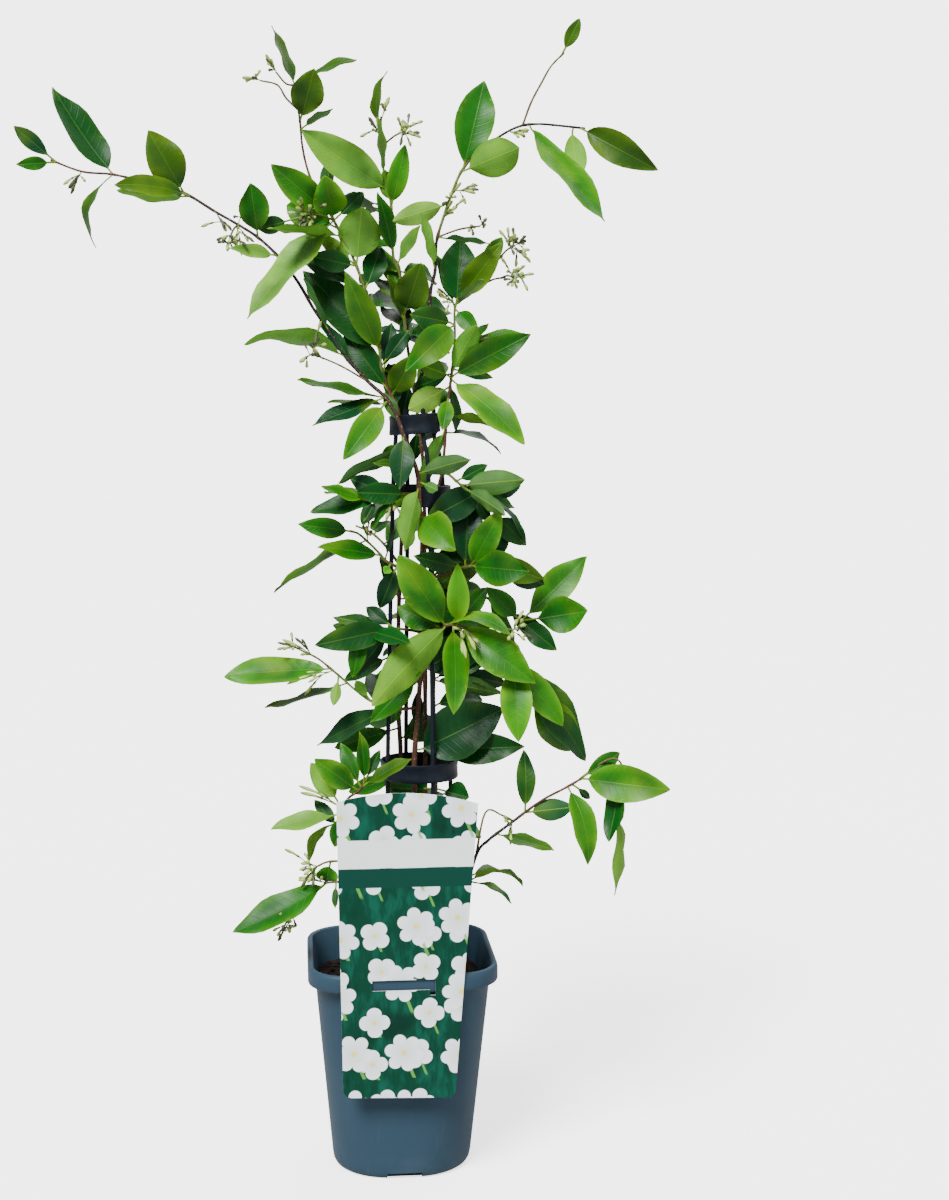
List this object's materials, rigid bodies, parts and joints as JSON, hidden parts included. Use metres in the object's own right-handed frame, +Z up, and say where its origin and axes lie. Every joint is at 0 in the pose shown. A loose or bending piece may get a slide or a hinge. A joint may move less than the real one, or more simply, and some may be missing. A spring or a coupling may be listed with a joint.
{
  "type": "potted star jasmine",
  "caption": "Twining evergreen climber in bud on a slim plastic column, in a square-rimmed nursery pot with a picture card.",
  "frame": {"origin": "centre of the pot's flat base, on the surface it stands on", "axes": "+Z up along the pot, -Y towards the picture card's face, +X to the right as seen facing the card"},
  "size_m": [0.4562, 0.1956, 0.8273],
  "materials": {
    "pot_plastic": "moulded blue-grey, soft satin",
    "soil": "dark potting compost, matt",
    "card": "printed plastic card, satin",
    "column_plastic": "near-black moulded plastic",
    "vine": "waxy green leaves on brown twining stems",
    "shoot": "waxy young green leaves on green stems"
  },
  "bodies": {
    "root": {"pot": "pot_plastic", "soil": "soil", "picture_card": "card", "column_band_low": "column_plastic", "column_band_middle": "column_plastic", "column_band_top": "column_plastic", "column_upright_1": "column_plastic", "column_upright_2": "column_plastic", "column_upright_3": "column_plastic", "column_upright_4": "column_plastic", "vine_left_arm": "vine", "vine_top_left": "vine", "vine_centre_top": "vine", "vine_right": "vine", "vine_low_left": "vine", "vine_low_right": "vine", "shoot_top_right": "shoot", "shoot_left_upper": "shoot", "shoot_left_middle": "shoot", "shoot_left_low_middle": "shoot", "shoot_left_lower": "shoot", "shoot_front": "shoot", "shoot_right_middle": "shoot", "shoot_right": "shoot", "shoot_right_upper": "shoot", "shoot_far_1": "shoot", "shoot_far_2": "shoot", "shoot_far_3": "shoot", "shoot_far_4": "shoot", "shoot_far_5": "shoot", "shoot_far_6": "shoot", "shoot_far_7": "shoot", "shoot_far_8": "shoot"}
  },
  "joints": []
}
